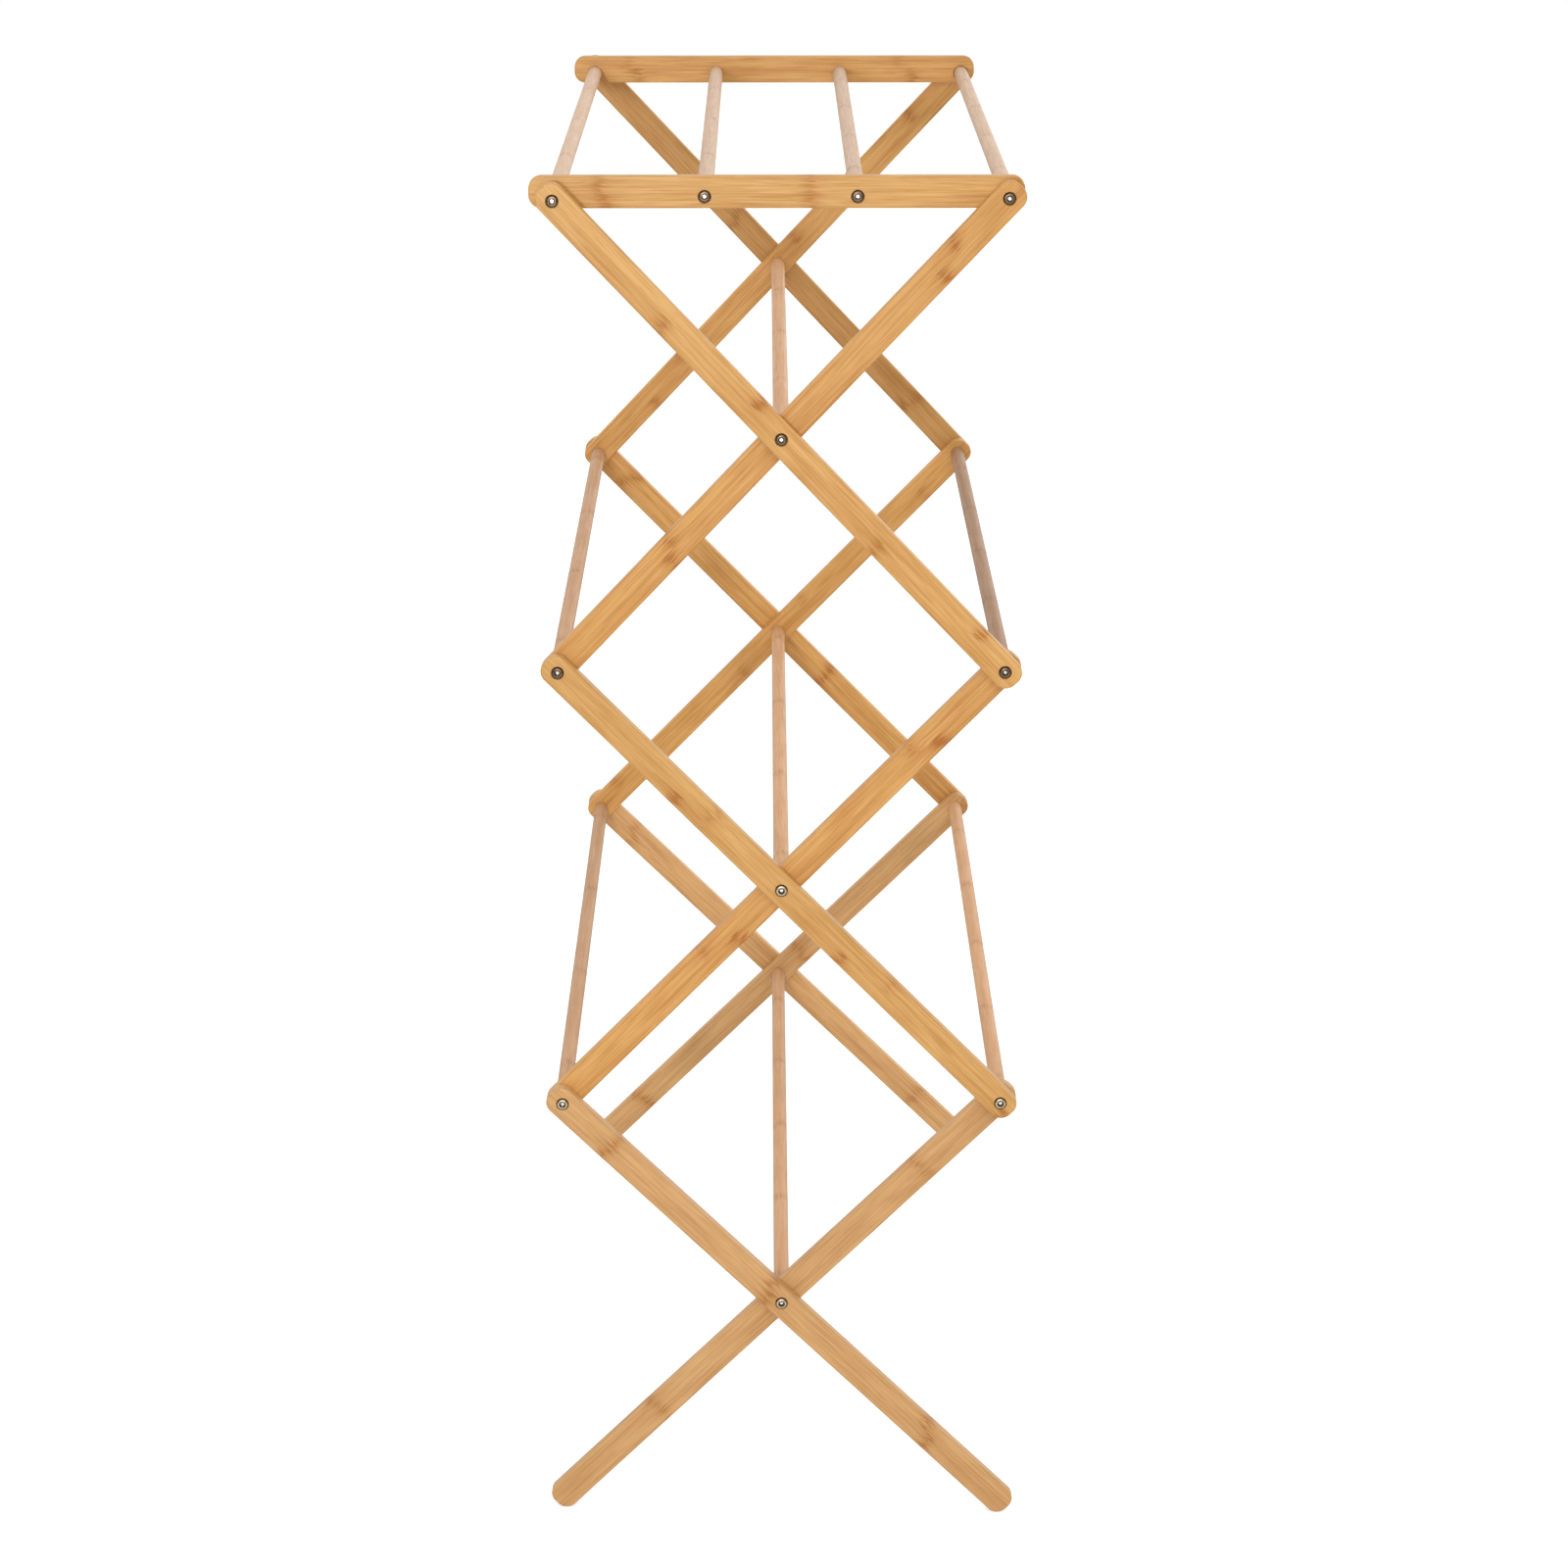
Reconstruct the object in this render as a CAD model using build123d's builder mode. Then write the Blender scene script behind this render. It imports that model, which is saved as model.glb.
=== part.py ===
from build123d import *
import math
import os

# Folding clothes drying rack: two scissor side frames of flat bamboo bars, joined by round rods,
# with a shelf of two rails on top that hooks over one rod and holds the scissors open.
# +X runs across the side frames, +Y along the rods from the front frame to the rear one, +Z is up.
# The origin is on the floor, under the crossing pivots, midway between the two side frames.

# Overall size
RACK_HEIGHT = 1061.0
RACK_DEPTH = 749.0

# Bars; the rails share their thickness and rounding
BAR_WIDTH = 22.4
BAR_THICKNESS = 10.0
BAR_END_OVERHANG = 12.3
BAR_CORNER_RADIUS = 9.5
BAR_EDGE_RADIUS = 1.5
LAYER_GAP = 0.4

# Scissor linkage, standing open. The lower half of each bar is slightly longer than its upper half,
# so every tier stands a little wider and lower than the tier above it.
MIDDLE_TIER_ANGLE = 45.9
HALF_BAR_RATIO = 1.015
TIER_COUNT = 3

# Shelf
RAIL_WIDTH = 23.2
RAIL_RISE = 3.1
RAIL_LEFT_OVERHANG = 18.1
RAIL_RIGHT_OVERHANG = 11.9
SHELF_ROD_SPACING = 110.0
HOOK_SEAT_CLEARANCE = 0.3
HOOK_OUTER_WALL_ANGLE = 68.0
HOOK_INNER_WALL_ANGLE = 57.0
RAIL_PIVOT_CLEARANCE = 0.5

# Rods
ROD_DIAMETER = 12.0
ROD_END_CHAMFER = 0.5
ROOT_ROD_END_GAP = 0.2

# Button-head hex-socket screws, one in each rod end
SCREW_DIAMETER = 5.0
SCREW_GRIP_IN_ROD = 20.0
SCREW_RUNNING_CLEARANCE = 0.45
HEAD_DIAMETER = 9.0
HEAD_HEIGHT = 2.8
HEAD_DOME_RADIUS = 1.7
HEAD_SEAT_GAP = 0.1
HEX_ACROSS_FLATS = 3.2
HEX_DEPTH = 1.6
COUNTERBORE_DIAMETER = 10.0
COUNTERBORE_DEPTH = 1.5
SCREW_TIP_CHAMFER = 0.8
PILOT_EXTRA_DEPTH = 1.0

# Derived sizes
head_proud = HEAD_HEIGHT + HEAD_SEAT_GAP - COUNTERBORE_DEPTH
outer_face = RACK_DEPTH / 2 - head_proud
layer_pitch = BAR_THICKNESS + LAYER_GAP
rod_radius = ROD_DIAMETER / 2

# Lean of the bars in each tier, from the lowest tier up: side pivots of neighbouring tiers coincide
middle_cos = math.cos(math.radians(MIDDLE_TIER_ANGLE))
middle_tier = TIER_COUNT // 2
tier_cos = [middle_cos * HALF_BAR_RATIO ** (middle_tier - tier) for tier in range(TIER_COUNT)]
tier_sin = [math.sqrt(1 - cos * cos) for cos in tier_cos]

# A bar's end reaches this far past the centre of its corner rounding, across the bar
corner_offset = BAR_WIDTH / 2 - BAR_CORNER_RADIUS
corner_reach = BAR_END_OVERHANG - BAR_CORNER_RADIUS
foot_reach = corner_reach * tier_sin[0] + corner_offset * tier_cos[0] + BAR_CORNER_RADIUS
pivot_top_to_rail_top = RAIL_RISE + RAIL_WIDTH / 2

# The half bars fill the height between the foot ends and the shelf
pivot_rows_height = RACK_HEIGHT - foot_reach - pivot_top_to_rail_top
upper_half = pivot_rows_height / ((1 + HALF_BAR_RATIO) * sum(tier_sin))
lower_half = HALF_BAR_RATIO * upper_half
bar_length = upper_half + lower_half + 2 * BAR_END_OVERHANG
crossing_to_middle = (lower_half - upper_half) / 2

# Heights of the pivot rows: row 0 is the undrilled foot ends and the last row the top of the rack
row_heights = [foot_reach]
for sin in tier_sin:
    row_heights.append(row_heights[-1] + lower_half * sin)
    row_heights.append(row_heights[-1] + upper_half * sin)


def side_x(tier):
    """Half the distance between the side pivots at the top of a tier."""
    return upper_half * tier_cos[tier]


def layer_face(layer):
    """Distance from the middle of the rack to the outer face of a bar layer, 0 being outermost."""
    return outer_face - layer * layer_pitch


OUTER_LAYER = 0
INNER_LAYER = 1
RAIL_LAYER = 2
TOP_ROW = 2 * TIER_COUNT

os.makedirs("parts", exist_ok=True)


def save(part, label):
    """Label a finished piece and write its STEP file."""
    part.label = label
    export_step(part, f"parts/{label}.step")


def make_bar(label, side, layer, tier, leans_left, head_stations, plain_stations):
    """One flat bar; stations are distances along it from its crossing pivot, upper end negative."""
    lean = 1 if leans_left else -1
    face = Plane(
        origin=(0, side * layer_face(layer), row_heights[2 * tier + 1]),
        x_dir=(lean * tier_cos[tier], 0, -tier_sin[tier]),
        z_dir=(0, side, 0),
    )
    with BuildPart(face) as bar:
        with BuildSketch(face):
            with Locations((crossing_to_middle, 0)):
                RectangleRounded(bar_length, BAR_WIDTH, BAR_CORNER_RADIUS)
        extrude(amount=-BAR_THICKNESS)
        fillet(bar.faces().filter_by(Axis.Y).edges(), radius=BAR_EDGE_RADIUS)
        if head_stations:
            with Locations(*[(station, 0) for station in head_stations]):
                CounterBoreHole(
                    radius=SCREW_DIAMETER / 2 + SCREW_RUNNING_CLEARANCE,
                    counter_bore_radius=COUNTERBORE_DIAMETER / 2,
                    counter_bore_depth=COUNTERBORE_DEPTH,
                )
        if plain_stations:
            with Locations(*[(station, 0) for station in plain_stations]):
                Hole(radius=SCREW_DIAMETER / 2 + SCREW_RUNNING_CLEARANCE)
    save(bar.part, label)


# Side frames: in every tier the outer bar falls from left to right and the inner bar the other way.
# The screw heads sit in the outermost bar at each pivot, and the foot ends are not drilled.
upper_end = -upper_half
lower_end = lower_half
frames = {"front": -1, "rear": 1}
for frame, side in frames.items():
    make_bar(f"{frame}_outer_bar_upper", side, OUTER_LAYER, 2, True, (upper_end, 0, lower_end), ())
    make_bar(f"{frame}_inner_bar_upper", side, INNER_LAYER, 2, False, (upper_end,), (0, lower_end))
    make_bar(f"{frame}_outer_bar_middle", side, OUTER_LAYER, 1, True, (upper_end, 0, lower_end), ())
    make_bar(f"{frame}_inner_bar_middle", side, INNER_LAYER, 1, False, (), (upper_end, 0, lower_end))
    make_bar(f"{frame}_outer_bar_lower", side, OUTER_LAYER, 0, True, (upper_end, 0), ())
    make_bar(f"{frame}_inner_bar_lower", side, INNER_LAYER, 0, False, (), (upper_end, 0))

# Shelf rails: the right end turns on the top right rod, and the left end hooks over the top left one.
top_x = side_x(TIER_COUNT - 1)
top_z = row_heights[TOP_ROW]
shelf_rod_xs = (-SHELF_ROD_SPACING / 2, SHELF_ROD_SPACING / 2)
rail_length = RAIL_LEFT_OVERHANG + 2 * top_x + RAIL_RIGHT_OVERHANG
rail_centre_x = (RAIL_RIGHT_OVERHANG - RAIL_LEFT_OVERHANG) / 2
rail_centre_z = top_z + RAIL_RISE
hook_radius = rod_radius + HOOK_SEAT_CLEARANCE
hook_drop = RAIL_WIDTH


def tangent_point(wall_angle, turn):
    """Where a straight hook wall at this angle from the horizontal leaves the round seat."""
    angle = math.radians(wall_angle)
    return (turn * hook_radius * math.sin(angle), turn * hook_radius * math.cos(angle))


def wall_foot(wall_angle, turn):
    """The same wall followed down until it is well below the rail."""
    x, z = tangent_point(wall_angle, turn)
    return (x + hook_drop / math.tan(math.radians(wall_angle)), z - hook_drop)


for frame, side in frames.items():
    rail_outer_face = side * layer_face(RAIL_LAYER)
    rail_face = Plane(
        origin=(rail_centre_x, rail_outer_face, rail_centre_z), x_dir=(-side, 0, 0), z_dir=(0, side, 0)
    )
    pivot_face = Plane(
        origin=(top_x, rail_outer_face, top_z), x_dir=(-side, 0, 0), z_dir=(0, side, 0)
    )
    shelf_row_face = Plane(
        origin=(0, rail_outer_face, top_z), x_dir=(-side, 0, 0), z_dir=(0, side, 0)
    )
    hook_face = Plane(
        origin=(-top_x, -layer_face(RAIL_LAYER), top_z), x_dir=(1, 0, 0), z_dir=(0, -1, 0)
    )
    with BuildPart(shelf_row_face) as rail:
        with BuildSketch(rail_face):
            RectangleRounded(rail_length, RAIL_WIDTH, BAR_CORNER_RADIUS)
        extrude(amount=-BAR_THICKNESS)
        fillet(rail.faces().filter_by(Axis.Y).edges(), radius=BAR_EDGE_RADIUS)
        with Locations(*[(x, 0) for x in shelf_rod_xs]):
            CounterBoreHole(
                radius=SCREW_DIAMETER / 2 + SCREW_RUNNING_CLEARANCE,
                counter_bore_radius=COUNTERBORE_DIAMETER / 2,
                counter_bore_depth=COUNTERBORE_DEPTH,
            )
        with BuildSketch(pivot_face):
            Circle(rod_radius + RAIL_PIVOT_CLEARANCE)
        extrude(amount=-BAR_THICKNESS, mode=Mode.SUBTRACT)
        with BuildSketch(hook_face):
            Circle(hook_radius)
            with BuildLine():
                Polyline(
                    tangent_point(HOOK_OUTER_WALL_ANGLE, -1),
                    tangent_point(HOOK_INNER_WALL_ANGLE, 1),
                    wall_foot(HOOK_INNER_WALL_ANGLE, 1),
                    wall_foot(HOOK_OUTER_WALL_ANGLE, -1),
                    close=True,
                )
            make_face()
        extrude(amount=RACK_DEPTH, both=True, mode=Mode.SUBTRACT)
    save(rail.part, f"{frame}_shelf_rail")


def make_rod(label, x, row, reach):
    """A round rod along Y, reaching equally far to the front and the rear, with a pilot hole in each end."""
    with BuildPart() as rod:
        with BuildSketch(Plane(origin=(x, 0, row_heights[row]), x_dir=(1, 0, 0), z_dir=(0, 1, 0))):
            Circle(rod_radius)
        extrude(amount=reach, both=True)
        chamfer(rod.edges().filter_by(GeomType.CIRCLE), length=ROD_END_CHAMFER)
        for side in frames.values():
            end_face = Plane(origin=(x, side * reach, row_heights[row]), x_dir=(1, 0, 0), z_dir=(0, side, 0))
            with BuildSketch(end_face):
                Circle(SCREW_DIAMETER / 2)
            extrude(amount=-(SCREW_GRIP_IN_ROD + PILOT_EXTRA_DEPTH), mode=Mode.SUBTRACT)
    save(rod.part, label)


def make_screws(label, x, row, head_layer, rod_reach):
    """The front and rear screws of one rod, heads sunk in the given bar layer."""
    seat = layer_face(head_layer) - COUNTERBORE_DEPTH + HEAD_SEAT_GAP
    shank_length = seat - rod_reach + SCREW_GRIP_IN_ROD
    with BuildPart() as screws:
        for side in frames.values():
            seat_plane = Plane(origin=(x, side * seat, row_heights[row]), x_dir=(1, 0, 0), z_dir=(0, side, 0))
            head_plane = seat_plane.offset(HEAD_HEIGHT)
            with BuildSketch(seat_plane):
                Circle(HEAD_DIAMETER / 2)
            head = extrude(amount=HEAD_HEIGHT)
            outward = Axis((x, 0, row_heights[row]), (0, side, 0))
            fillet(head.edges().filter_by(GeomType.CIRCLE).sort_by(outward)[-1], radius=HEAD_DOME_RADIUS)
            with BuildSketch(head_plane):
                RegularPolygon(radius=HEX_ACROSS_FLATS / 2, side_count=6, major_radius=False)
            extrude(amount=-HEX_DEPTH, mode=Mode.SUBTRACT)
            with BuildSketch(seat_plane):
                Circle(SCREW_DIAMETER / 2)
            shank = extrude(amount=-shank_length)
            chamfer(shank.edges().filter_by(GeomType.CIRCLE).sort_by(outward)[0], length=SCREW_TIP_CHAMFER)
    save(screws.part, label)


# Rods end on the inner face of the innermost bar at their pivot. The top left rod runs on through the
# open layer beside the hook to the outer bar, and the shelf rods are held between the two rails.
inner_reach = layer_face(INNER_LAYER) - BAR_THICKNESS
outer_reach = layer_face(OUTER_LAYER) - BAR_THICKNESS
rail_reach = layer_face(RAIL_LAYER) - BAR_THICKNESS
rods = {
    "top_left": (-top_x, TOP_ROW, OUTER_LAYER, outer_reach),
    "top_right": (top_x, TOP_ROW, INNER_LAYER, inner_reach),
    "upper_cross": (0, 5, OUTER_LAYER, inner_reach),
    "mid_left": (-side_x(1), 4, OUTER_LAYER, inner_reach),
    "mid_right": (side_x(1), 4, OUTER_LAYER, inner_reach),
    "middle_cross": (0, 3, OUTER_LAYER, inner_reach),
    "lower_left": (-side_x(0), 2, OUTER_LAYER, inner_reach),
    "lower_right": (side_x(0), 2, OUTER_LAYER, inner_reach),
    "lower_cross": (0, 1, OUTER_LAYER, inner_reach - ROOT_ROD_END_GAP),
    "shelf_left": (shelf_rod_xs[0], TOP_ROW, RAIL_LAYER, rail_reach),
    "shelf_right": (shelf_rod_xs[1], TOP_ROW, RAIL_LAYER, rail_reach),
}
for place, (x, row, head_layer, reach) in rods.items():
    make_rod(f"{place}_rod", x, row, reach)
    make_screws(f"{place}_screws", x, row, head_layer, reach)
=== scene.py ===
import math

import bpy
from mathutils import Matrix, Vector


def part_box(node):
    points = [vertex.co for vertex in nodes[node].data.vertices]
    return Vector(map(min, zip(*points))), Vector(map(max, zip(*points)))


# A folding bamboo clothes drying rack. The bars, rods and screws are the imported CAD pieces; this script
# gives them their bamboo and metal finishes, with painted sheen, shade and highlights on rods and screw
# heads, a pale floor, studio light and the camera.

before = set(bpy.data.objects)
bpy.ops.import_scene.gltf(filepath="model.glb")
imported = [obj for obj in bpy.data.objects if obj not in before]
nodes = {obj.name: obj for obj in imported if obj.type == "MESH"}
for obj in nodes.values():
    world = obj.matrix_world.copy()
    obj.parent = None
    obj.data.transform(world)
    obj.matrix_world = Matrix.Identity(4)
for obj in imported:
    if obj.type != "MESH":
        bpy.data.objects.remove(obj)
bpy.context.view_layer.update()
scene = bpy.context.scene
scene.view_settings.view_transform = "Standard"

MM = 0.001
# lean of the bars in each tier, in degrees from level
TIER_LEAN = {"upper": 46.72, "middle": 45.90, "lower": 45.06}

# ---------------------------------------------------------------- camera
CAMERA_LENS = 86.247
CAMERA_PLACE = (-0.01174, -3.04378, 1.47352)
CAMERA_PITCH = 17.906
CAMERA_YAW = -0.293

camera_data = bpy.data.cameras.new("camera")
camera_data.sensor_width = 36.0
camera_data.lens = CAMERA_LENS
camera_data.clip_end = 100.0
camera = bpy.data.objects.new("camera", camera_data)
camera.location = CAMERA_PLACE
camera.rotation_euler = (math.radians(90.0 - CAMERA_PITCH), 0.0, math.radians(CAMERA_YAW))
scene.collection.objects.link(camera)
scene.camera = camera


# ---------------------------------------------------------------- node helpers
class Graph:
    """Short calls for building a node tree."""

    def __init__(self, tree):
        self.tree = tree

    def add(self, kind, settings=None, values=None):
        """A node with its settings, and its inputs set to values or linked to sockets."""
        new = self.tree.nodes.new(kind)
        for name, value in (settings or {}).items():
            setattr(new, name, value)
        for name, value in (values or {}).items():
            self.feed(new.inputs[name], value)
        return new

    def feed(self, socket, value):
        """Links a socket to another, or sets it."""
        if isinstance(value, bpy.types.NodeSocket):
            self.tree.links.new(value, socket)
        else:
            socket.default_value = value

    def math(self, operation, first, second=None, third=None):
        """The result of one sum."""
        values = [v for v in (first, second, third) if v is not None]
        new = self.add("ShaderNodeMath", {"operation": operation}, dict(enumerate(values)))
        return new.outputs[0]

    def mix(self, factor, first, second):
        """A mix of two colours."""
        new = self.add("ShaderNodeMix", {"data_type": "RGBA", "clamp_factor": True})
        self.feed(new.inputs[0], factor)
        self.feed(new.inputs[6], first)
        self.feed(new.inputs[7], second)
        return new.outputs[2]

    def ramp(self, value, low, high, out_low=0.0, out_high=1.0, smooth=True):
        """value stretched from low..high to out_low..out_high."""
        new = self.add(
            "ShaderNodeMapRange",
            {"interpolation_type": "SMOOTHSTEP" if smooth else "LINEAR"},
            {"Value": value, "From Min": low, "From Max": high, "To Min": out_low, "To Max": out_high},
        )
        return new.outputs[0]

    def noise(self, vector, scale, detail=2.0, roughness=0.5, seed=None):
        """A noise value, stretched by scale along each axis."""
        place = self.add("ShaderNodeVectorMath", {"operation": "MULTIPLY"}, {0: vector, 1: scale})
        settings = {"noise_dimensions": "4D"} if seed is not None else {"noise_dimensions": "3D"}
        values = {"Vector": place.outputs[0], "Scale": 1.0, "Detail": detail, "Roughness": roughness}
        if seed is not None:
            values["W"] = seed
        return self.add("ShaderNodeTexNoise", settings, values).outputs[0]


def new_group(name, inputs, outputs):
    """An empty node group; inputs and outputs are (name, kind, default)."""
    tree = bpy.data.node_groups.new(name, "ShaderNodeTree")
    for label, kind, default in inputs:
        socket = tree.interface.new_socket(label, in_out="INPUT", socket_type=kind)
        if default is not None:
            socket.default_value = default
    for label, kind in outputs:
        tree.interface.new_socket(label, in_out="OUTPUT", socket_type=kind)
    graph = Graph(tree)
    return tree, graph, graph.add("NodeGroupInput").outputs, graph.add("NodeGroupOutput").inputs


FLOAT, COLOUR, VECTOR = "NodeSocketFloat", "NodeSocketColor", "NodeSocketVector"


# ---------------------------------------------------------------- bamboo
# cycles per metre of each noise, along the fibres and twice across them
BROAD_GRAIN = (9, 360, 360)
FINE_GRAIN = (26, 950, 950)
LOOSE_FIBRES = (34, 1100, 1100)
CLOUDS = (22, 70, 70)
RAGGED_EDGE = (40, 900, 900)
BOWED_EDGE = (5, 110, 110)
WAVES = (45, 90, 90)
# widths of the joint's parts, in metres
JOINT_BAND = 0.0050
JOINT_REACH = 0.011
JOINT_SEAM = 0.0011
SEAM_OFFSET = 0.001
RAGGED_SHIFT = 0.022
BOWED_SHIFT = 0.010
WAVE_SHIFT = 0.0035
STRIP_SEED_STEP = 3.7


def make_bamboo_group():
    """Bamboo whose fibres run along X: two glued strips across Z, each with its own joints along it."""
    tree, g, given, made = new_group(
        "bamboo",
        [
            ("Vector", VECTOR, None),
            ("Seed", FLOAT, 0.0),
            ("Split", FLOAT, 0.0),
            ("Upper Start", FLOAT, 0.0),
            ("Upper Pitch", FLOAT, 0.2),
            ("Upper Strength", FLOAT, 1.0),
            ("Lower Start", FLOAT, 0.0),
            ("Lower Pitch", FLOAT, 0.2),
            ("Lower Strength", FLOAT, 1.0),
            ("Light", COLOUR, (0.6, 0.34, 0.12, 1)),
            ("Dark", COLOUR, (0.45, 0.2, 0.06, 1)),
            ("Joint", COLOUR, (0.3, 0.12, 0.03, 1)),
        ],
        [("Color", COLOUR), ("Roughness", FLOAT), ("Height", FLOAT)],
    )
    place = given["Vector"]
    split = g.add("ShaderNodeSeparateXYZ", values={0: place}).outputs
    along, across = split[0], split[2]

    # which strip, and a seed of its own
    upper = g.math("GREATER_THAN", across, given["Split"])
    seed = g.math("ADD", given["Seed"], g.math("MULTIPLY", upper, STRIP_SEED_STEP))

    # a joint band: distance from the nearest joint along this strip, its outline broken by the fibres
    def pick(name):
        low, high = given["Lower " + name], given["Upper " + name]
        return g.math("ADD", low, g.math("MULTIPLY", upper, g.math("SUBTRACT", high, low)))

    start, pitch, strength = pick("Start"), pick("Pitch"), pick("Strength")
    half = g.math("MULTIPLY", pitch, 0.5)
    from_joint = g.math("WRAP", g.math("SUBTRACT", along, start), half, g.math("MULTIPLY", half, -1.0))
    ragged = g.noise(place, RAGGED_EDGE, 2.0, 0.6, seed)
    shifted = g.math("ADD", from_joint, g.math("MULTIPLY", g.math("SUBTRACT", ragged, 0.5), RAGGED_SHIFT))
    bow = g.noise(place, BOWED_EDGE, 0.0, 0.5, seed)
    shifted = g.math("ADD", shifted, g.math("MULTIPLY", g.math("SUBTRACT", bow, 0.5), BOWED_SHIFT))

    def bell(distance, width):
        scaled = g.math("DIVIDE", distance, width)
        return g.math("EXPONENT", g.math("MULTIPLY", g.math("MULTIPLY", scaled, scaled), -1.0))

    band = bell(shifted, JOINT_BAND)
    near_joint = bell(from_joint, JOINT_REACH)

    # fibres, waved sideways a little near a joint
    wave = g.noise(place, WAVES, 1.0, 0.5, seed)
    sideways = g.math("MULTIPLY", g.math("SUBTRACT", wave, 0.5), WAVE_SHIFT)
    sideways = g.math("MULTIPLY", sideways, g.math("ADD", near_joint, 0.12))
    lean = g.add("ShaderNodeCombineXYZ", values={1: sideways, 2: sideways})
    grain_place = g.add("ShaderNodeVectorMath", {"operation": "ADD"}, {0: place, 1: lean.outputs[0]})
    grain_place = grain_place.outputs[0]
    broad = g.noise(grain_place, BROAD_GRAIN, 2.0, 0.6, seed)
    fine = g.noise(grain_place, FINE_GRAIN, 2.0, 0.6, seed)
    cloud = g.noise(place, CLOUDS, 2.0, 0.5, seed)
    fibre = g.ramp(g.noise(grain_place, LOOSE_FIBRES, 1.0, 0.5, seed), 0.55, 0.66)

    tone = g.ramp(broad, 0.3, 0.7, -0.32, 0.32, False)
    tone = g.math("ADD", tone, g.ramp(fine, 0.3, 0.7, -0.42, 0.42, False))
    tone = g.math("ADD", tone, g.ramp(cloud, 0.25, 0.75, -0.30, 0.30, False))
    tone = g.math("ADD", tone, g.ramp(upper, 0.0, 1.0, 0.07, -0.07, False))
    tone = g.math("ADD", tone, 0.40)
    tone = g.math("ADD", tone, g.math("MULTIPLY", fibre, 0.30))
    colour = g.mix(tone, given["Light"], given["Dark"])

    # the joint is darker, broken by pale fibres, with a thin darker seam through it
    seam = bell(g.math("ADD", shifted, -SEAM_OFFSET), JOINT_SEAM)
    broken = g.ramp(fine, 0.40, 0.56, 0.15, 1.0)
    stain = g.math("MULTIPLY", g.math("MULTIPLY", band, broken), 0.90)
    stain = g.math("ADD", stain, g.math("MULTIPLY", seam, 0.22))
    stain = g.math("ADD", stain, g.math("MULTIPLY", near_joint, 0.20))
    stain = g.math("MULTIPLY", stain, strength)
    colour = g.mix(stain, colour, given["Joint"])

    g.feed(made["Color"], colour)
    sheen = g.ramp(fine, 0.3, 0.7, 0.46, 0.60, False)
    g.feed(made["Roughness"], g.math("ADD", sheen, g.math("MULTIPLY", stain, 0.10)))
    height = g.math("ADD", g.math("MULTIPLY", fine, 0.6), g.math("MULTIPLY", broad, 0.4))
    height = g.math("SUBTRACT", height, g.math("MULTIPLY", fibre, 0.25))
    g.feed(made["Height"], g.math("ADD", height, g.math("MULTIPLY", band, 0.5)))
    return tree


BAMBOO = make_bamboo_group()


def local_place(g, centre, along, up):
    """Row-frame coordinates turned so that X runs along the piece and Z across it."""
    along, up = Vector(along).normalized(), Vector(up).normalized()
    turn = Matrix((along, up.cross(along), up)).transposed().to_euler("XYZ")
    coordinates = g.add("ShaderNodeTexCoord").outputs["Object"]
    mapping = g.add(
        "ShaderNodeMapping",
        {"vector_type": "TEXTURE"},
        {"Vector": coordinates, "Location": tuple(centre), "Rotation": tuple(turn)},
    )
    return mapping.outputs[0]


def new_material(name):
    """A material with an empty principled surface."""
    material = bpy.data.materials.new(name)
    material.use_nodes = True
    tree = material.node_tree
    tree.nodes.clear()
    g = Graph(tree)
    surface = g.add("ShaderNodeBsdfPrincipled")
    output = g.add("ShaderNodeOutputMaterial")
    g.feed(output.inputs["Surface"], surface.outputs[0])
    return material, g, surface


WOOD_IOR = 1.45
WOOD_SPECULAR = 0.40
COAT_ROUGHNESS = 0.28
GRAIN_DEPTH = 0.0003


def bamboo_material(name, centre, along, up, colours, tone, upper, lower, seed, split, coat, bump):
    """Bamboo for one piece; upper and lower are (first joint, pitch, strength), lengths in millimetres."""
    colours = [tuple(channel * tone for channel in colour) for colour in colours]
    material, g, surface = new_material(name)
    values = {
        "Vector": local_place(g, centre, along, up),
        "Seed": seed,
        "Split": split * MM,
        "Light": (*colours[0], 1.0),
        "Dark": (*colours[1], 1.0),
        "Joint": (*colours[2], 1.0),
    }
    for strip, (start, pitch, strength) in (("Upper", upper), ("Lower", lower)):
        values[strip + " Start"] = start * MM
        values[strip + " Pitch"] = pitch * MM
        values[strip + " Strength"] = strength
    bamboo = g.add("ShaderNodeGroup", {"node_tree": BAMBOO}, values).outputs
    grain = {"Height": bamboo["Height"], "Strength": bump, "Distance": GRAIN_DEPTH}
    relief = g.add("ShaderNodeBump", values=grain)
    g.feed(surface.inputs["Base Color"], bamboo["Color"])
    g.feed(surface.inputs["Roughness"], bamboo["Roughness"])
    g.feed(surface.inputs["Normal"], relief.outputs[0])
    surface.inputs["IOR"].default_value = WOOD_IOR
    surface.inputs["Specular IOR Level"].default_value = WOOD_SPECULAR
    surface.inputs["Coat Weight"].default_value = coat
    surface.inputs["Coat Roughness"].default_value = COAT_ROUGHNESS
    return material


# ---------------------------------------------------------------- metal
# radii over which a screw head's colour changes, in metres: to socket wall, flat face, dome and rim
WALL_FROM, WALL_TO = 0.0011, 0.0014
FACE_FROM, FACE_TO = 0.0018, 0.0021
DOME_FROM, DOME_TO = 0.0024, 0.0028
RIM_FROM, RIM_TO = 0.0036, 0.0040
TARNISH_GRAIN = (420, 420, 420)
TURNING_MARKS = 1400.0
MARK_DEPTH = 0.00005


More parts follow.
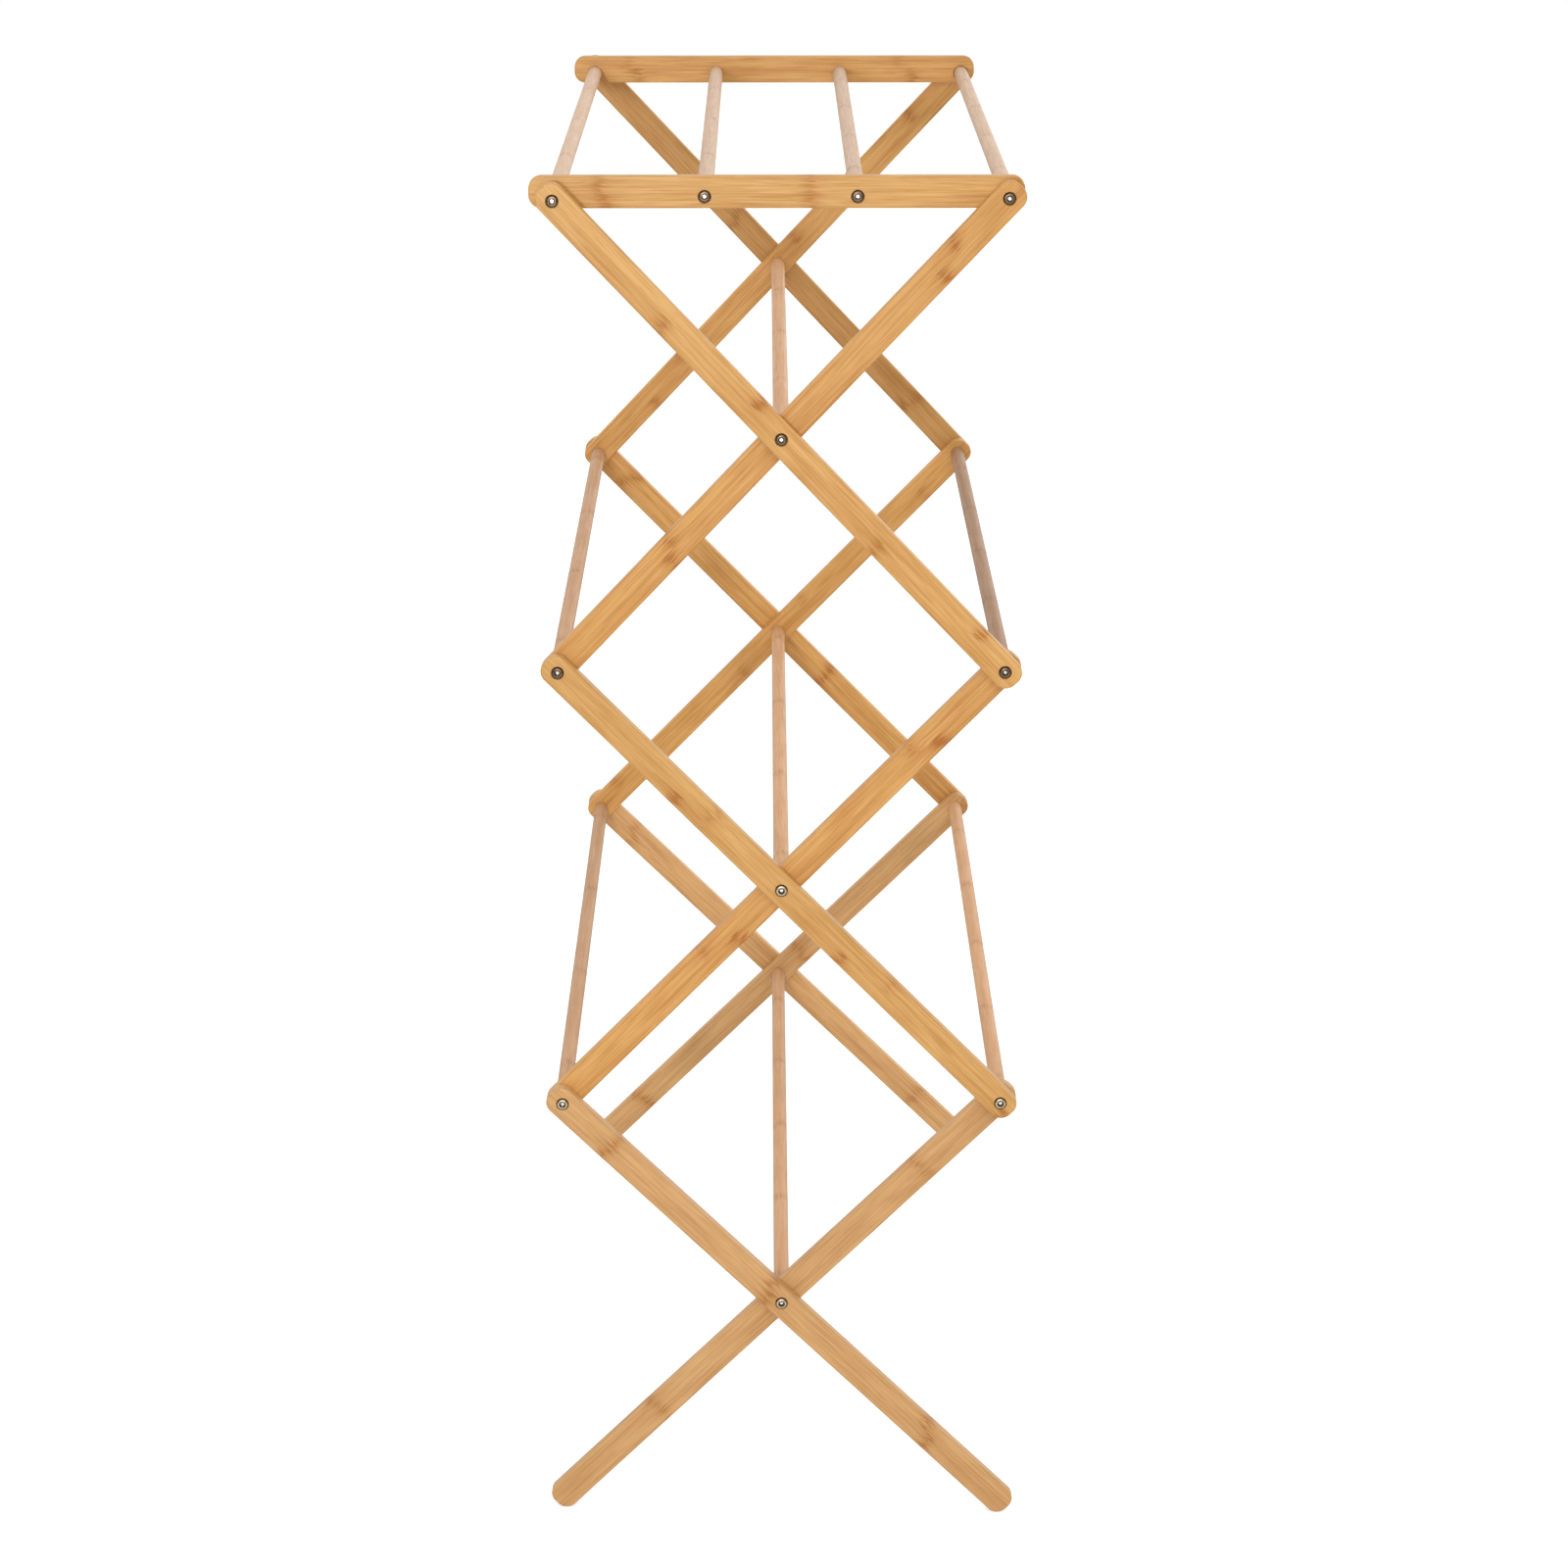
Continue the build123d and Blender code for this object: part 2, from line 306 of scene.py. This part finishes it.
def metal_material(name, centre, face, dome, rim):
    """Plated steel screw, coloured by distance from its axis, from the socket's floor out to the rim;
    these colours are painted light: a painted highlight on the socket floor, painted shade on its wall and
    painted reflections on the face, dome and rim.
    """
    material, g, surface = new_material(name)
    place = local_place(g, centre, (0, 1, 0), (0, 0, 1))
    axes = g.add("ShaderNodeSeparateXYZ", values={0: place}).outputs
    squares = g.math("ADD", g.math("MULTIPLY", axes[1], axes[1]), g.math("MULTIPLY", axes[2], axes[2]))
    radius = g.math("SQRT", squares)
    tarnish = g.noise(place, TARNISH_GRAIN, 2.0, 0.6)
    # painted highlight on the socket floor, painted shade on its wall, painted reflections on face, dome
    # and rim
    colour = g.mix(g.ramp(radius, WALL_FROM, WALL_TO), (*SOCKET_PAINTED_HIGHLIGHT, 1.0), (*SOCKET_PAINTED_SHADE, 1.0))
    colour = g.mix(g.ramp(radius, FACE_FROM, FACE_TO), colour, (*face, 1.0))
    colour = g.mix(g.ramp(radius, DOME_FROM, DOME_TO), colour, (*dome, 1.0))
    colour = g.mix(g.ramp(radius, RIM_FROM, RIM_TO), colour, (*rim, 1.0))
    colour = g.mix(g.ramp(tarnish, 0.40, 0.75, 0.0, 0.45), colour, (*TARNISH, 1.0))
    rings = g.add(
        "ShaderNodeTexWave",
        {"wave_type": "RINGS", "rings_direction": "X", "wave_profile": "SIN"},
        {"Vector": place, "Scale": TURNING_MARKS, "Distortion": 0.6, "Detail": 1.0, "Detail Scale": 2.0},
    ).outputs[1]
    relief = g.add("ShaderNodeBump", values={"Height": rings, "Strength": 0.10, "Distance": MARK_DEPTH})
    g.feed(surface.inputs["Base Color"], colour)
    g.feed(surface.inputs["Roughness"], g.ramp(tarnish, 0.3, 0.7, 0.22, 0.36))
    g.feed(surface.inputs["Normal"], relief.outputs[0])
    surface.inputs["Metallic"].default_value = 1.0
    return material


# ---------------------------------------------------------------- finishes of the pieces, with painted sheen, shade and highlights on rods and screws
# light fibre, dark fibre and joint colours
HONEY = ((0.625, 0.347, 0.110), (0.460, 0.213, 0.046), (0.375, 0.135, 0.018))
AMBER = ((0.605, 0.319, 0.092), (0.445, 0.191, 0.037), (0.360, 0.122, 0.015))
STRAW = ((0.572, 0.324, 0.127), (0.427, 0.213, 0.069), (0.345, 0.130, 0.022))
PLAIN = ((0.600, 0.338, 0.168), (0.510, 0.262, 0.112), (0.330, 0.150, 0.055))
# a paler, pinker rod finish that paints in the sheen of the bright sky on the top and shelf rods
PAINTED_SHEEN_PALE = ((0.640, 0.440, 0.300), (0.560, 0.360, 0.225), (0.400, 0.225, 0.120))

# finish, tone, then upper strip and lower strip of each bar: (first joint, pitch, strength) in millimetres
BARS = {
    "front_outer_bar_upper": (HONEY, 1.00, (-32, 237, 1.00), (-120, 225, 0.75)),
    "front_inner_bar_upper": (AMBER, 1.00, (-190, 300, 0.85), (-168, 288, 0.90)),
    "front_outer_bar_middle": (HONEY, 0.94, (-80, 190, 0.45), (-110, 178, 0.95)),
    "front_inner_bar_middle": (AMBER, 1.00, (-148, 225, 0.60), (-165, 215, 1.15)),
    "front_outer_bar_lower": (STRAW, 1.01, (-190, 172, 0.70), (-190, 177, 0.90)),
    "front_inner_bar_lower": (STRAW, 1.00, (-155, 290, 0.70), (-157, 292, 0.60)),
    "front_shelf_rail": (HONEY, 0.99, (-128, 152, 0.58), (-123, 149, 0.70)),
    "rear_outer_bar_upper": (AMBER, 0.93, (-62, 240, 0.60), (-55, 230, 0.80)),
    "rear_inner_bar_upper": (AMBER, 1.06, (-180, 150, 0.80), (168, 260, 0.70)),
    "rear_outer_bar_middle": (AMBER, 1.08, (-200, 262, 0.90), (-202, 264, 0.80)),
    "rear_inner_bar_middle": (AMBER, 1.08, (-40, 250, 0.40), (-190, 240, 0.60)),
    "rear_outer_bar_lower": (STRAW, 1.18, (-200, 385, 0.55), (-196, 383, 0.55)),
    "rear_inner_bar_lower": (STRAW, 1.09, (-35, 218, 0.70), (-32, 215, 0.80)),
    "rear_shelf_rail": (AMBER, 1.03, (-130, 240, 0.40), (-122, 243, 0.80)),
}
BAR_SPLITS = (1.5, -0.8, 0.6, 2.2, -1.6)
ROD_JOINTS = (-250, 168), (-300, 205), (-180, 190), (-330, 150)
ROD_JOINT_STRENGTH = 0.35
# past the rod's surface, so that a rod is one strip
ROD_SPLIT = 40.0
BAR_COAT, BAR_BUMP = 0.18, 0.30
ROD_COAT, ROD_BUMP = 0.06, 0.20
SEED_STEP = 1.37

# finish and tone of each rod: the pale finish of the top and shelf rods is painted sheen, and the tones
# brighten or darken single rods as painted light and shade (mid_right_rod darkened as painted shade)
RODS = {
    "top_left_rod": (PAINTED_SHEEN_PALE, 1.07),
    "shelf_left_rod": (PAINTED_SHEEN_PALE, 1.01),
    "shelf_right_rod": (PAINTED_SHEEN_PALE, 0.98),
    "top_right_rod": (PAINTED_SHEEN_PALE, 1.02),
    "upper_cross_rod": (PLAIN, 1.15),
    "mid_left_rod": (PLAIN, 0.93),
    "mid_right_rod": (PLAIN, 0.64),
    "middle_cross_rod": (PLAIN, 1.12),
    "lower_left_rod": (PLAIN, 0.88),
    "lower_right_rod": (PLAIN, 1.10),
    "lower_cross_rod": (PLAIN, 1.02),
}

# screw metal, all painted light: a near-white painted highlight on the socket floor and painted shade on
# the socket wall, then the painted reflections on the flat face, dome and rim of each kind
SOCKET_PAINTED_HIGHLIGHT = (0.95, 0.92, 0.88)
SOCKET_PAINTED_SHADE = (0.018, 0.012, 0.008)
# one plated metal in two copies, as painted light: a shaded copy that paints dark reflections on the upper
# screws, and a lit copy that paints the floor's bright reflection on the lower screws
SCREW_PAINTED_SHADED = (0.10, 0.066, 0.042), (0.17, 0.115, 0.072), (0.055, 0.034, 0.020)
SCREW_PAINTED_LIT = (0.045, 0.032, 0.020), (0.70, 0.56, 0.37), (0.12, 0.080, 0.042)
TARNISH = (0.20, 0.13, 0.07)
SCREWS_PAINTED_LIT = ("middle_cross", "lower_left", "lower_right", "lower_cross")


def centre_of(name):
    """Middle of a piece's box."""
    low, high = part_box(name)
    return (Vector(low) + Vector(high)) / 2


def paint(name, material):
    """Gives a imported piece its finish."""
    piece = nodes[name]
    piece.data.materials.clear()
    piece.data.materials.append(material)


for index, name in enumerate(sorted(nodes)):
    centre = centre_of(name)
    seed = index * SEED_STEP
    if name in BARS:
        colours, tone, upper, lower = BARS[name]
        if "rail" in name:
            along, up = (1, 0, 0), (0, 0, 1)
        else:
            side = 1 if "outer" in name else -1
            lean = math.radians(TIER_LEAN[name.rsplit("_", 1)[1]])
            along = (side * math.cos(lean), 0, -math.sin(lean))
            up = (side * math.sin(lean), 0, math.cos(lean))
        split = BAR_SPLITS[index % len(BAR_SPLITS)]
        grain = (name, centre, along, up, colours, tone, upper, lower, seed, split)
        paint(name, bamboo_material(*grain, BAR_COAT, BAR_BUMP))
    elif name.endswith("_rod"):
        start, pitch = ROD_JOINTS[index % len(ROD_JOINTS)]
        joints = (start, pitch, ROD_JOINT_STRENGTH)
        colours, tone = RODS[name]
        grain = (name, centre, (0, 1, 0), (0, 0, 1), colours, tone, joints, joints, seed, ROD_SPLIT)
        paint(name, bamboo_material(*grain, ROD_COAT, ROD_BUMP))
    else:
        place = name.replace("_screws", "")
        # the lower screws get the lit copy and the others the shaded copy: painted light on one screw
        # metal
        face, dome, rim = SCREW_PAINTED_LIT if place in SCREWS_PAINTED_LIT else SCREW_PAINTED_SHADED
        paint(name, metal_material(name, centre, face, dome, rim))

# ---------------------------------------------------------------- floor and light
FLOOR_HALF_WIDTH = 6.0
FLOOR_FRONT = -2.4
FLOOR_BACK = 9.0
FLOOR_WHITE = 0.75
FLOOR_GLOW_SEEN = 0.42
floor_mesh = bpy.data.meshes.new("floor")
corners = (
    (-FLOOR_HALF_WIDTH, FLOOR_FRONT, 0),
    (FLOOR_HALF_WIDTH, FLOOR_FRONT, 0),
    (FLOOR_HALF_WIDTH, FLOOR_BACK, 0),
    (-FLOOR_HALF_WIDTH, FLOOR_BACK, 0),
)
floor_mesh.from_pydata(corners, [], [(0, 1, 2, 3)])
floor = bpy.data.objects.new("floor", floor_mesh)
scene.collection.objects.link(floor)
material, g, surface = new_material("floor")
surface.inputs["Base Color"].default_value = (FLOOR_WHITE, FLOOR_WHITE, FLOOR_WHITE, 1.0)
surface.inputs["Emission Color"].default_value = (1.0, 1.0, 1.0, 1.0)
seen = g.add("ShaderNodeLightPath").outputs["Is Camera Ray"]
g.feed(surface.inputs["Emission Strength"], g.math("MULTIPLY", seen, FLOOR_GLOW_SEEN))
surface.inputs["Roughness"].default_value = 0.9
surface.inputs["Specular IOR Level"].default_value = 0.1
floor_mesh.materials.append(material)

world = bpy.data.worlds.new("studio")
scene.world = world
world.use_nodes = True
world.node_tree.nodes.clear()
g = Graph(world.node_tree)
facing = g.add("ShaderNodeTexCoord").outputs["Generated"]
direction = g.add("ShaderNodeSeparateXYZ", values={0: facing}).outputs
# brightness of the sky in front, behind, added towards the back right, overhead, and below the horizon
SKY_FRONT, SKY_BACK, SKY_GLOW, SKY_TOP, BELOW = 0.40, 1.20, 0.75, 0.98, 0.10
behind = g.ramp(direction[1], -0.5, 0.5)
glow = g.math("MULTIPLY", g.ramp(direction[0], 0.0, 0.4), SKY_GLOW)
sky = g.math("MULTIPLY", behind, g.math("ADD", glow, SKY_BACK - SKY_FRONT))
sky = g.math("ADD", sky, SKY_FRONT)
high = g.ramp(direction[2], 0.1, 0.75)
sky = g.math("ADD", sky, g.math("MULTIPLY", high, g.math("SUBTRACT", SKY_TOP, sky)))
above = g.ramp(direction[2], -0.15, -0.09)
light = g.math("ADD", BELOW, g.math("MULTIPLY", above, g.math("SUBTRACT", sky, BELOW)))
seen = g.add("ShaderNodeLightPath").outputs["Is Camera Ray"]
light = g.math("ADD", g.math("MULTIPLY", seen, g.math("SUBTRACT", 1.0, light)), light)
background = g.add("ShaderNodeBackground", values={"Color": (1, 1, 1, 1), "Strength": light})
g.feed(g.add("ShaderNodeOutputWorld").inputs[0], background.outputs[0])


def softbox(name, place, target, width, height, power):
    """A soft light panel aimed at a point."""
    data = bpy.data.lights.new(name, "AREA")
    data.shape = "RECTANGLE"
    data.size = width
    data.size_y = height
    data.energy = power
    lamp = bpy.data.objects.new(name, data)
    lamp.location = place
    lamp.rotation_euler = (Vector(target) - Vector(place)).to_track_quat("-Z", "Y").to_euler()
    scene.collection.objects.link(lamp)


# name, place, point aimed at, width, height (metres) and power (watts)
PANELS = (
    ("key", (-0.45, -3.1, 1.25), (0.0, 0.0, 0.75), 0.22, 0.22, 27.0),
    ("soft fill", (0.3, -3.0, 2.3), (0.0, 0.0, 0.7), 1.8, 1.4, 22.0),
    ("low panel", (0.0, -3.25, 0.42), (0.0, 0.0, 0.75), 1.0, 0.55, 4.5),
)
for panel in PANELS:
    softbox(*panel)
